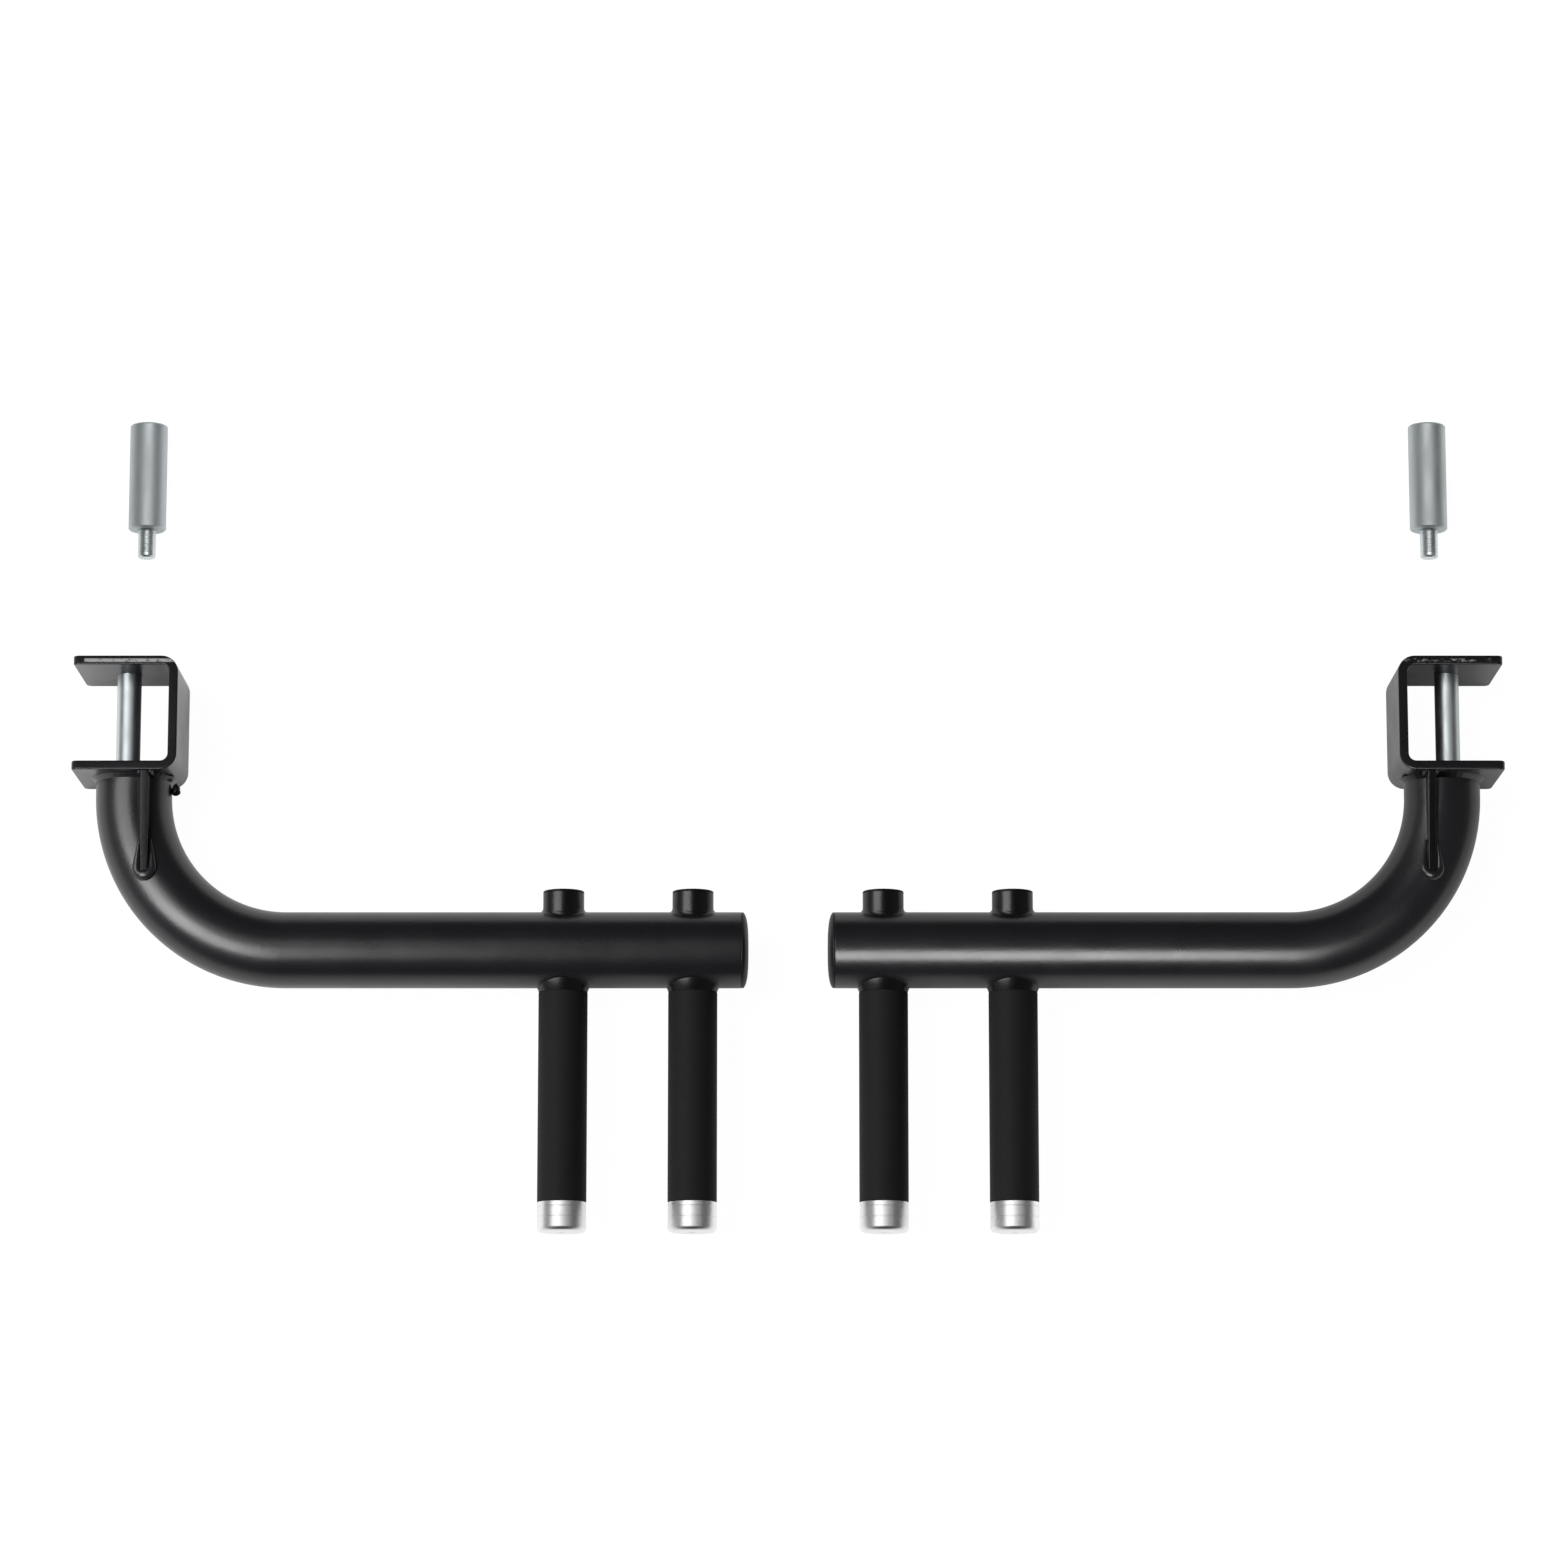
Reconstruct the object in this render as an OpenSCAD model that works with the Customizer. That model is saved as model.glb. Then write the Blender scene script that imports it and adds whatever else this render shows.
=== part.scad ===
// A pair of pull-up arms for a power rack. Each arm has a bracket that wraps
// an upright, a lock pin through it, a bent tube and two parallel handles.
// Two thicker spare pins lie behind the brackets.
//
// X runs across the rack, Y away from the hands and Z up along the uprights.
// Every module draws the right-hand piece, with Y = 0 on the main tube's axis
// and Z = 0 at the bracket's lower edge. The left-hand piece is its mirror.

/* [Rack upright] */
// Width of the square upright that each bracket wraps
upright_w = 60; // [50:1:75]
// Play between the upright and each plate of the bracket
upright_gap = 2; // [0.5:0.5:4]
// Distance between the axes of the two lock pins
pin_spacing = 872; // [780:2:1100]

/* [Bracket] */
// Thickness of the folded flat steel
plate_t = 6; // [4:0.5:8]
// Height of the bracket along the upright
bracket_h = 75; // [72:1:120]
// How far the plates reach past the lock pin's axis
plate_reach = 33; // [30:1:50]
// Inside radius of the two folds
fold_r = 5; // [2:0.5:8]
// Rounding of the plates' free corners
corner_r = 4; // [1:0.5:10]

/* [Main tube] */
// Outside diameter of the main tube
tube_d = 50; // [44:1:54]
// Wall of the main tube
tube_wall = 3; // [2:0.5:4]
// Centreline radius of the bend
bend_r = 102; // [80:1:140]
// Straight stretch between the bend and the bracket
tube_straight = 12; // [12:1:60]
// How far the tube's leg sits off the lock pin's axis, towards the middle
leg_offset = 4.5; // [0:0.5:6]
// Clear gap between the two arms' end plugs
arm_gap = 52; // [20:2:80]

/* [Handles] */
// Distance from the middle of the pair to the inner handle
inner_handle_x = 62.5; // [56:0.5:70]
// Distance between the two handles of one arm
handle_spacing = 85; // [75:1:95]
// Outside diameter of a handle tube
handle_d = 27; // [25:0.5:30]
// Wall of a handle tube
handle_wall = 2.5; // [2:0.25:3.5]
// How far a handle tube stands out above the main tube
stub_h = 12.5; // [6:0.5:20]
// Thickness of the rubber sleeve
grip_wall = 2.5; // [2:0.5:6]
// Length of the rubber sleeve
grip_len = 138; // [110:1:170]
// Rounding of the sleeve's edges
grip_edge = 0.8; // [0.3:0.1:1.5]

/* [End caps] */
// Diameter of the turned cap at a handle's end
cap_d = 32; // [30:0.5:36]
// Length of the cap beyond the sleeve
cap_len = 19.5; // [14:0.5:26]
// Rounding of the cap's free edge
cap_edge = 3; // [1:0.5:4]
// Distance from the sleeve to the first groove
groove_start = 2.8; // [1.5:0.1:4]
// Distance between the two grooves
groove_pitch = 6.8; // [4:0.1:8]
// Width of a groove
groove_w = 0.6; // [0.4:0.1:1.2]
// Depth of a groove
groove_depth = 0.4; // [0.2:0.1:1]
// Length of the cap's spigot inside the handle tube
spigot_len = 20; // [10:1:40]

/* [Plugs] */
// Height of an end plug's straight rim
plug_rim = 1.5; // [1:0.25:3]
// Height of the main tube plug's dome above its rim
plug_dome = 3; // [1:0.5:6]
// Length of the plug that sits inside the main tube
plug_insert = 18; // [10:1:30]
// Height of a handle tube plug's rounded head
stub_head = 1.5; // [1:0.25:3]
// Length of the plug that sits inside a handle tube
stub_insert = 12; // [6:1:20]
// Wall of a plug's insert
plug_wall = 2; // [1.5:0.25:3]

/* [Gussets and welds] */
// Thickness of a gusset
gusset_t = 5; // [4:0.5:8]
// Length of a gusset along the tube
gusset_len = 67; // [40:1:75]
// How far a gusset sits off the leg's axis, towards the middle
gusset_offset = 10.5; // [0:0.5:14]
// How far a gusset stays back from the bracket's edge
gusset_margin = 1; // [0.5:0.5:4]
// Height of a gusset's blunt tip
gusset_tip = 2; // [1:0.5:4]
// Leg of the weld beads
weld_leg = 3; // [2:0.5:4]

/* [Lock pin] */
// Diameter of the lock pin's shaft
pin_d = 16; // [13:0.5:20]
// Height of the lock pin's head, which is sunk into the bracket's upper plate
head_h = 3; // [2:0.5:4]
// Diameter of the M12 threaded end, on both kinds of pin
thread_d = 12; // [10:0.5:12]
// Length of the threaded end
thread_len = 19; // [17:1:30]
// Width across the flats of the hex socket
socket_af = 8; // [6:0.5:10]
// Depth of the hex socket
socket_depth = 5; // [3:0.5:8]
// Chamfer on the ends of the pins
pin_chamfer = 1; // [0.5:0.25:1.5]
// Width across the flats of the weld nut
nut_af = 19; // [17:0.5:22]
// Height of the weld nut
nut_h = 10; // [6:0.5:14]

/* [Spare pins] */
// Diameter of a spare pin, and of the lock pin's head
spare_d = 25; // [22:0.5:28]
// Length of a spare pin's body
spare_len = 72; // [60:1:80]
// Length of the stud's plain root, pressed into a spare pin's body
stud_depth = 20; // [12:1:30]
// Step from the stud's thread down to its root
stud_step = 1; // [0.5:0.25:2]
// Distance from the bracket to a spare pin's stud
spare_gap = 79; // [20:1:140]
// How far a spare pin lies off the lock pin's axis, towards the middle
spare_inset = 6.5; // [0:0.5:60]

/* [Fits] */
// Play around the lock pin's shaft and head, and below the head, in the bracket's upper plate
head_gap = 0.25; // [0.1:0.05:0.5]
// Radial play of the threaded end in its nut
thread_gap = 0.05; // [0.02:0.01:0.1]
// Radial play of the threaded end in the bracket's lower plate
plate_gap = 0.5; // [0.2:0.1:1]
// Radial play of plugs, sleeves, spigots, stud roots and handle tubes in their seats
seat_gap = 0.1; // [0.05:0.05:0.2]

/* [Hidden] */
$fn = 72;

// A cut runs this far past the face it opens
cut = 1;

powder_black = [0.07, 0.07, 0.075];
plastic_black = [0.04, 0.04, 0.04];
rubber_grey = [0.16, 0.16, 0.17];
aluminium = [0.86, 0.86, 0.87];
bright_zinc = [0.72, 0.75, 0.77];
satin_zinc = [0.6, 0.64, 0.65];

// Across
pin_x = pin_spacing / 2;
web_x = pin_x - upright_w / 2 - plate_t;
plate_w = plate_t + upright_w / 2 + plate_reach;
tube_end_x = arm_gap / 2 + plug_rim + plug_dome;
outer_handle_x = inner_handle_x + handle_spacing;
leg_x = pin_x - leg_offset;
gusset_x = leg_x - gusset_offset;
spare_x = pin_x - spare_inset;

// Along the handles
tube_r = tube_d / 2;
handle_r = handle_d / 2;
channel_w = upright_w + 2 * upright_gap;
lower_y = bend_r + tube_straight;
channel_y = lower_y + plate_t;
upper_y = channel_y + channel_w;
top_y = upper_y + plate_t;
stub_y = tube_r + stub_h;
grip_y = tube_r + weld_leg;
handle_end_y = grip_y + grip_len;
grip_d = handle_d + 2 * (grip_wall + seat_gap);
root_d = thread_d - 2 * stud_step;
stud_y = top_y + spare_gap;
spare_y = stud_y + thread_len;
back_y = spare_y + spare_len;
front_y = -(handle_end_y + cap_len);

// Up
axis_z = bracket_h / 2;

// Puts a right-hand piece in place around the middle of the whole set
module right() {
    translate([0, -(back_y + front_y) / 2, 0]) children();
}

// Puts the mirror image of a right-hand piece in place
module left() {
    right() mirror([1, 0, 0]) children();
}

// Turns a piece drawn upright so that it points to the hands, from point y
module pointing_down(x, y, z = axis_z) {
    translate([x, y, z]) rotate([90, 0, 0]) children();
}

// Turns a piece drawn upright so that it points away from the hands, from point y
module pointing_up(x, y, z = axis_z) {
    translate([x, y, z]) rotate([-90, 0, 0]) children();
}

// A rectangle whose two corners on the near side have radius r
module tabbed_rectangle(w, h, r) {
    translate([r, 0]) square([w - r, h]);
    translate([0, r]) square([w - r, h - 2 * r]);
    for (y = [r, h - r]) translate([r, y]) circle(r);
}

// A hexagonal prism with the given width across its flats
module hexagon(af, h) {
    cylinder(d = af / cos(30), h = h, $fn = 6);
}

// A shaft with a chamfer at its far end
module chamfered_shaft(d, h, chamfer) {
    cylinder(d = d, h = h - chamfer);
    translate([0, 0, h - chamfer]) cylinder(d1 = d, d2 = d - 2 * chamfer, h = chamfer);
}

// The path of the main tube as a solid bar of diameter d
module tube_run(d, past = 0) {
    pointing_up(leg_x, bend_r) cylinder(d = d, h = tube_straight + past);
    translate([leg_x - bend_r, bend_r, axis_z])
        rotate([0, 0, -90]) rotate_extrude(angle = 90) translate([bend_r, 0]) circle(d = d);
    translate([tube_end_x - past, 0, axis_z])
        rotate([0, 90, 0]) cylinder(d = d, h = leg_x - bend_r - tube_end_x + past);
}

module bracket() {
    color(powder_black) difference() {
        intersection() {
            translate([web_x, lower_y, 0]) linear_extrude(bracket_h) difference() {
                tabbed_rectangle(plate_w, channel_w + 2 * plate_t, fold_r + plate_t);
                translate([plate_t, plate_t]) tabbed_rectangle(plate_w, channel_w, fold_r);
            }
            pointing_down(web_x + plate_w, top_y + cut, 0)
                linear_extrude(top_y - lower_y + 2 * cut)
                mirror([1, 0]) tabbed_rectangle(plate_w + cut, bracket_h, corner_r);
        }
        pointing_up(pin_x, upper_y - cut) cylinder(d = pin_d + 2 * head_gap, h = plate_t + 2 * cut);
        pointing_up(pin_x, top_y - head_h - head_gap)
            cylinder(d = spare_d + 2 * head_gap, h = head_h + head_gap + cut);
        pointing_up(pin_x, lower_y - cut) cylinder(d = thread_d + 2 * plate_gap, h = plate_t + 2 * cut);
    }
}

module main_tube() {
    color(powder_black) difference() {
        tube_run(tube_d);
        tube_run(tube_d - 2 * tube_wall, cut);
        for (x = [inner_handle_x, outer_handle_x])
            pointing_down(x, tube_d) cylinder(d = handle_d + 2 * seat_gap, h = 2 * tube_d);
    }
}

// A gusset for the front (side = 1) or the rear (side = -1) of the main tube
module gusset(side) {
    reach = axis_z - gusset_margin;
    tip_y = lower_y - gusset_len;
    root_z = tube_r / 2;
    color(powder_black) translate([0, 0, axis_z]) difference() {
        translate([gusset_x + gusset_t / 2, 0, 0]) rotate([0, -90, 0]) linear_extrude(gusset_t)
            polygon([
                [side * root_z, lower_y],
                [side * reach, lower_y],
                [side * (tube_r + gusset_tip), tip_y],
                [side * root_z, tip_y]
            ]);
        translate([0, 0, -axis_z]) tube_run(tube_d);
        translate([0, 0, -axis_z]) pointing_down(leg_x, lower_y + cut)
            cylinder(r = tube_r + weld_leg, h = weld_leg + cut);
    }
}

// The bead between the main tube and the bracket
module bracket_weld() {
    color(powder_black) pointing_down(leg_x, lower_y) rotate_extrude()
        polygon([[tube_r, 0], [tube_r + weld_leg, 0], [tube_r, weld_leg]]);
}

// The beads around both handle tubes, on both sides of the main tube
module handle_welds() {
    collar_h = tube_r - sqrt(pow(tube_r, 2) - pow(handle_r + weld_leg, 2)) + weld_leg;
    color(powder_black) difference() {
        for (x = [inner_handle_x, outer_handle_x], turn = [90, -90])
            translate([x, 0, axis_z]) rotate([turn, 0, 0])
                translate([0, 0, tube_r - collar_h]) {
                    cylinder(r = handle_r + weld_leg, h = collar_h);
                    translate([0, 0, collar_h])
                        cylinder(r1 = handle_r + weld_leg, r2 = handle_r, h = weld_leg);
                }
        tube_run(tube_d);
        for (x = [inner_handle_x, outer_handle_x])
            pointing_down(x, tube_d) cylinder(d = handle_d, h = 2 * tube_d);
    }
}

module tube_plug() {
    insert_d = tube_d - 2 * tube_wall - 2 * seat_gap;
    dome_r = (pow(tube_r, 2) + pow(plug_dome, 2)) / (2 * plug_dome);
    color(plastic_black) translate([tube_end_x, 0, axis_z]) rotate([0, -90, 0]) {
        cylinder(d = tube_d, h = plug_rim);
        translate([0, 0, plug_rim]) rotate_extrude() intersection() {
            translate([0, plug_dome - dome_r]) circle(dome_r, $fn = 360);
            square([tube_r, plug_dome]);
        }
        translate([0, 0, -plug_insert]) difference() {
            cylinder(d = insert_d, h = plug_insert);
            translate([0, 0, -cut]) cylinder(d = insert_d - 2 * plug_wall, h = plug_insert + cut);
        }
    }
}

module weld_nut() {
    color(bright_zinc) pointing_down(pin_x, lower_y) difference() {
        hexagon(nut_af, nut_h);
        translate([0, 0, -cut]) cylinder(d = thread_d + 2 * thread_gap, h = nut_h + 2 * cut);
    }
}

module handle_tube(x) {
    length = stub_y + handle_end_y;
    color(powder_black) pointing_down(x, stub_y) difference() {
        cylinder(d = handle_d, h = length);
        translate([0, 0, -cut]) cylinder(d = handle_d - 2 * handle_wall, h = length + 2 * cut);
    }
}

module stub_plug(x) {
    insert_d = handle_d - 2 * handle_wall - 2 * seat_gap;
    color(plastic_black) pointing_up(x, stub_y) {
        chamfered_shaft(handle_d, stub_head, stub_head / 2);
        translate([0, 0, -stub_insert]) difference() {
            cylinder(d = insert_d, h = stub_insert);
            translate([0, 0, -cut]) cylinder(d = insert_d - 2 * plug_wall, h = stub_insert + cut);
        }
    }
}

module grip(x) {
    inner_r = handle_r + seat_gap;
    outer_r = grip_d / 2;
    color(rubber_grey) pointing_down(x, -grip_y) rotate_extrude() polygon([
        [inner_r, 0],
        [outer_r - grip_edge, 0],
        [outer_r, grip_edge],
        [outer_r, grip_len - grip_edge],
        [outer_r - grip_edge, grip_len],
        [inner_r, grip_len]
    ]);
}

module end_cap(x) {
    cap_r = cap_d / 2;
    color(aluminium) pointing_down(x, -handle_end_y) {
        rotate_extrude() difference() {
            union() {
                square([cap_r, cap_len - cap_edge]);
                square([cap_r - cap_edge, cap_len]);
                translate([cap_r - cap_edge, cap_len - cap_edge]) circle(cap_edge);
            }
            translate([-cap_r, 0]) square([cap_r, cap_len]);
            for (y = [groove_start, groove_start + groove_pitch])
                translate([cap_r - groove_depth, y]) square([groove_depth + cut, groove_w]);
        }
        translate([0, 0, -spigot_len])
            cylinder(d = handle_d - 2 * handle_wall - 2 * seat_gap, h = spigot_len);
    }
}

module lock_pin() {
    color(bright_zinc) difference() {
        union() {
            pointing_up(pin_x, top_y - head_h) cylinder(d = spare_d, h = head_h);
            pointing_up(pin_x, channel_y) cylinder(d = pin_d, h = channel_w + plate_t - head_h);
            pointing_down(pin_x, channel_y) chamfered_shaft(thread_d, thread_len, pin_chamfer);
        }
        pointing_down(pin_x, top_y + cut) hexagon(socket_af, socket_depth + cut);
    }
}

module spare_pin_body() {
    color(satin_zinc) difference() {
        union() {
            pointing_up(spare_x, spare_y + pin_chamfer, spare_d / 2)
                chamfered_shaft(spare_d, spare_len - pin_chamfer, pin_chamfer);
            pointing_down(spare_x, spare_y + pin_chamfer, spare_d / 2)
                cylinder(d1 = spare_d, d2 = spare_d - 2 * pin_chamfer, h = pin_chamfer);
        }
        pointing_down(spare_x, back_y + cut, spare_d / 2) hexagon(socket_af, socket_depth + cut);
        pointing_up(spare_x, spare_y - cut, spare_d / 2)
            cylinder(d = root_d + 2 * seat_gap, h = stud_depth + cut);
    }
}

module spare_pin_stud() {
    color(bright_zinc) {
        pointing_down(spare_x, spare_y, spare_d / 2) chamfered_shaft(thread_d, thread_len, pin_chamfer);
        pointing_up(spare_x, spare_y, spare_d / 2) cylinder(d = root_d, h = stud_depth);
    }
}

left() bracket();  // left_bracket
left() main_tube();  // left_main_tube
left() gusset(1);  // left_front_gusset
left() gusset(-1);  // left_rear_gusset
left() bracket_weld();  // left_bracket_weld
left() handle_welds();  // left_handle_welds
left() tube_plug();  // left_tube_plug
left() weld_nut();  // left_weld_nut
left() handle_tube(inner_handle_x);  // left_inner_handle_tube
left() handle_tube(outer_handle_x);  // left_outer_handle_tube
left() stub_plug(inner_handle_x);  // left_inner_stub_plug
left() stub_plug(outer_handle_x);  // left_outer_stub_plug
left() grip(inner_handle_x);  // left_inner_grip
left() grip(outer_handle_x);  // left_outer_grip
left() end_cap(inner_handle_x);  // left_inner_end_cap
left() end_cap(outer_handle_x);  // left_outer_end_cap
left() lock_pin();  // left_lock_pin
left() spare_pin_body();  // left_spare_pin_body
left() spare_pin_stud();  // left_spare_pin_stud
right() bracket();  // right_bracket
right() main_tube();  // right_main_tube
right() gusset(1);  // right_front_gusset
right() gusset(-1);  // right_rear_gusset
right() bracket_weld();  // right_bracket_weld
right() handle_welds();  // right_handle_welds
right() tube_plug();  // right_tube_plug
right() weld_nut();  // right_weld_nut
right() handle_tube(inner_handle_x);  // right_inner_handle_tube
right() handle_tube(outer_handle_x);  // right_outer_handle_tube
right() stub_plug(inner_handle_x);  // right_inner_stub_plug
right() stub_plug(outer_handle_x);  // right_outer_stub_plug
right() grip(inner_handle_x);  // right_inner_grip
right() grip(outer_handle_x);  // right_outer_grip
right() end_cap(inner_handle_x);  // right_inner_end_cap
right() end_cap(outer_handle_x);  // right_outer_end_cap
right() lock_pin();  // right_lock_pin
right() spare_pin_body();  // right_spare_pin_body
right() spare_pin_stud();  // right_spare_pin_stud
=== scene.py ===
import math

import bmesh
import bpy
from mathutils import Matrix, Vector


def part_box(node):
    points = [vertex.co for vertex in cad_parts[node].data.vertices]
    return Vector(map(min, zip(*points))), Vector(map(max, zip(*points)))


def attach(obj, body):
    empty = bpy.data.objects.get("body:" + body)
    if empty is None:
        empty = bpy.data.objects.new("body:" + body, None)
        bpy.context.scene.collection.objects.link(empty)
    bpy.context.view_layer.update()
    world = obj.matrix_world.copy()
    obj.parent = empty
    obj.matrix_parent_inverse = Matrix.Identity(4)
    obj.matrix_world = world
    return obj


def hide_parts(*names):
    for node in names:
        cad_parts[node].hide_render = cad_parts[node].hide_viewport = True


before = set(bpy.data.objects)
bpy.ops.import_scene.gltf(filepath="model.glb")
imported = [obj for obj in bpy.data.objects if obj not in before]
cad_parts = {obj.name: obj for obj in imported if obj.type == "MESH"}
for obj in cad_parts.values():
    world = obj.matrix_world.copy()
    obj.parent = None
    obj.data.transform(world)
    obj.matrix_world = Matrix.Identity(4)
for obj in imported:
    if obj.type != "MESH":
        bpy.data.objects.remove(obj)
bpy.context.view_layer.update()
print("frame loaded with", len(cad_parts), "solids")

# everything below is in metres, and each left-hand piece is a twin of the right-hand one

closeEnough = 1e-5  # how far a corner may lie from the edge that it is picked for
mergeDistance = 1e-6  # corners nearer to each other than this become one
roundSides = 96  # of a round piece whose values don't say more


def clearSelection():
    if bpy.context.mode != "OBJECT":
        bpy.ops.object.mode_set(mode="OBJECT")
    bpy.ops.object.select_all(action="DESELECT")


def selectOnly(obj):
    clearSelection()
    obj.select_set(True)
    bpy.context.view_layer.objects.active = obj


def startEditing(obj, mode="EDGE", action="DESELECT"):
    selectOnly(obj)
    bpy.ops.object.mode_set(mode="EDIT")
    bpy.ops.mesh.select_mode(type=mode)
    bpy.ops.mesh.select_all(action=action)


def stopEditing():
    bpy.ops.object.mode_set(mode="OBJECT")


def pick(obj, kind, test):
    # selects the verts or edges whose corners all pass the test
    mesh = bmesh.from_edit_mesh(obj.data)
    for item in getattr(mesh, kind):
        corners = [item.co] if kind == "verts" else [v.co for v in item.verts]
        if all(test(corner) for corner in corners):
            item.select_set(True)
    bmesh.update_edit_mesh(obj.data)


def keepPlace(obj):
    selectOnly(obj)
    bpy.ops.object.transform_apply(location=True, rotation=True, scale=True)


def modify(obj, kind, **settings):
    selectOnly(obj)
    bpy.ops.object.modifier_add(type=kind)
    modifier = obj.modifiers[-1]
    for name, value in settings.items():
        setattr(modifier, name, value)
    bpy.ops.object.modifier_apply(modifier=modifier.name)


def closeSkin(obj):
    startEditing(obj, "VERT", "SELECT")
    bpy.ops.mesh.remove_doubles(threshold=mergeDistance)
    bpy.ops.mesh.normals_make_consistent(inside=False)
    stopEditing()


def smooth(obj, degrees):
    selectOnly(obj)
    bpy.ops.object.shade_smooth_by_angle(angle=math.radians(degrees))


def carve(obj, cutter):
    modify(obj, "BOOLEAN", object=cutter, operation="DIFFERENCE", solver="EXACT")
    bpy.data.objects.remove(cutter)


def carveHole(obj, place, radius, depth, sides=roundSides):
    # the cutter lies along Y, with its middle at the place
    clearSelection()
    bpy.ops.mesh.primitive_cylinder_add(vertices=sides, radius=radius, depth=depth,
                                        location=place, rotation=(math.pi / 2, 0, 0))
    carve(obj, bpy.context.object)


def joinAll(parts):
    clearSelection()
    for part in parts:
        part.select_set(True)
    bpy.context.view_layer.objects.active = parts[0]
    bpy.ops.object.join()
    return parts[0]


def turned(foot, along, rings, sides=roundSides, hollow=False):
    # each ring is a distance along the axis, which is X, Y or Z, and a radius
    foot, along = Vector(foot), Vector(along)
    distance, radius = rings[0]
    clearSelection()
    bpy.ops.mesh.primitive_circle_add(
        vertices=sides, radius=radius, fill_type="NOTHING" if hollow else "TRIFAN",
        location=foot + along * distance,
        rotation=Vector((0, 0, 1)).rotation_difference(along).to_euler())
    obj = bpy.context.object
    keepPlace(obj)
    startEditing(obj, "EDGE", "SELECT")
    if not hollow:
        bpy.ops.mesh.region_to_loop()
    for nextDistance, nextRadius in rings[1:] + (rings[:1] if hollow else []):
        step = along * (nextDistance - distance)
        bpy.ops.mesh.extrude_edges_move(TRANSFORM_OT_translate={"value": step})
        grow = [1 if part else nextRadius / radius for part in along]
        bpy.ops.transform.resize(value=grow, center_override=foot + along * nextDistance)
        distance, radius = nextDistance, nextRadius
    if not hollow:
        bpy.ops.mesh.edge_face_add()
        bpy.ops.mesh.select_mode(type="FACE")
        bpy.ops.mesh.poke()
    stopEditing()
    closeSkin(obj)
    return obj


def roundRing(obj, foot, along, ring, width, segments):
    # rounds off one ring of edges on a turned shape
    foot, along = Vector(foot), Vector(along)

    def onRing(point):
        step = point - foot
        distance = step.dot(along)
        radius = (step - along * distance).length
        return max(abs(distance - ring[0]), abs(radius - ring[1])) < 2 * closeEnough

    startEditing(obj)
    pick(obj, "edges", onRing)
    bpy.ops.mesh.bevel(offset=width, segments=segments, affect="EDGES")
    stopEditing()


def reshape(obj, rule):
    for vertex in obj.data.vertices:
        vertex.co = rule(vertex.co)


def mirrored(obj, axis, middle):
    # a twin with its own mesh on the other side of a middle plane
    selectOnly(obj)
    bpy.ops.object.duplicate(linked=False)
    twin = bpy.context.object
    flip = [-1 if index == axis else 1 for index in range(3)]
    bpy.ops.transform.resize(value=flip, center_override=middle)
    keepPlace(twin)
    closeSkin(twin)
    return twin


# finishes


def addNode(owner, kind, inputs=None, **settings):
    tree = owner.node_tree
    node = tree.nodes.new(kind)
    for name, value in settings.items():
        setattr(node, name, value)
    for name, value in (inputs or {}).items():
        if isinstance(value, bpy.types.NodeSocket):
            tree.links.new(value, node.inputs[name])
        else:
            node.inputs[name].default_value = value
    return node


def maths(owner, operation, *values, **settings):
    inputs = dict(enumerate(values))
    return addNode(owner, "ShaderNodeMath", inputs, operation=operation, **settings).outputs[0]


def newFinish(name, metallic=0.0, ior=1.5):
    material = bpy.data.materials.new(name)
    material.use_nodes = True
    shader = material.node_tree.nodes["Principled BSDF"]
    shader.inputs["Metallic"].default_value = metallic
    shader.inputs["IOR"].default_value = ior
    place = addNode(material, "ShaderNodeTexCoord").outputs["Object"]
    return material, shader, place


def noiseAt(material, place, scale, detail, stretch=(1, 1, 1)):
    mapped = addNode(material, "ShaderNodeMapping", {"Vector": place, "Scale": stretch})
    noise = addNode(material, "ShaderNodeTexNoise",
                    {"Vector": mapped.outputs["Vector"], "Scale": scale, "Detail": detail})
    return noise.outputs["Fac"]


def spread(owner, value, low, high, start=0.3, end=0.7):
    remap = addNode(owner, "ShaderNodeMapRange",
                    {"Value": value, "From Min": start, "From Max": end,
                     "To Min": low, "To Max": high})
    return remap.outputs["Result"]


def blendColours(material, value, first, second):
    # the first colour may come from other nodes
    if not isinstance(first, bpy.types.NodeSocket):
        first = (*first, 1)
    mix = addNode(material, "ShaderNodeMix", {0: value, 6: first, 7: (*second, 1)},
                  data_type="RGBA")
    return mix.outputs[2]


def surface(material, shader, colour, roughness, height, distance):
    bump = addNode(material, "ShaderNodeBump", {"Height": height, "Distance": distance})
    tree = material.node_tree
    tree.links.new(colour, shader.inputs["Base Color"])
    tree.links.new(roughness, shader.inputs["Roughness"])
    tree.links.new(bump.outputs["Normal"], shader.inputs["Normal"])


powderLook = {
    "dark": (0.0072, 0.0072, 0.0086),
    "pale": (0.0100, 0.0100, 0.0116),
    "patch": 40,
    "smoothest": 0.27,
    "roughest": 0.33,
    "grain": 420,
    "grainHeight": 0.00005,
}


def makePowderCoat(name, paintedLight=None):
    look = powderLook
    material, shader, place = newFinish(name)
    patches = noiseAt(material, place, look["patch"], detail=4)
    grain = noiseAt(material, place, look["grain"], detail=2)
    colour = blendColours(material, grain, look["dark"], look["pale"])
    roughness = spread(material, patches, look["smoothest"], look["roughest"])
    # paints a highlight into the colour and roughness, where one is given
    if paintedLight:
        colour, roughness = paintedLight(material, place, colour, roughness)
    surface(material, shader, colour, roughness, grain, look["grainHeight"])
    return material


plasticLook = {
    "dark": (0.007, 0.007, 0.008),
    "pale": (0.010, 0.010, 0.011),
    "smoothest": 0.42,
    "roughest": 0.5,
    "grain": 2200,
    "grainHeight": 0.00001,
    "ior": 1.33,
}


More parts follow.
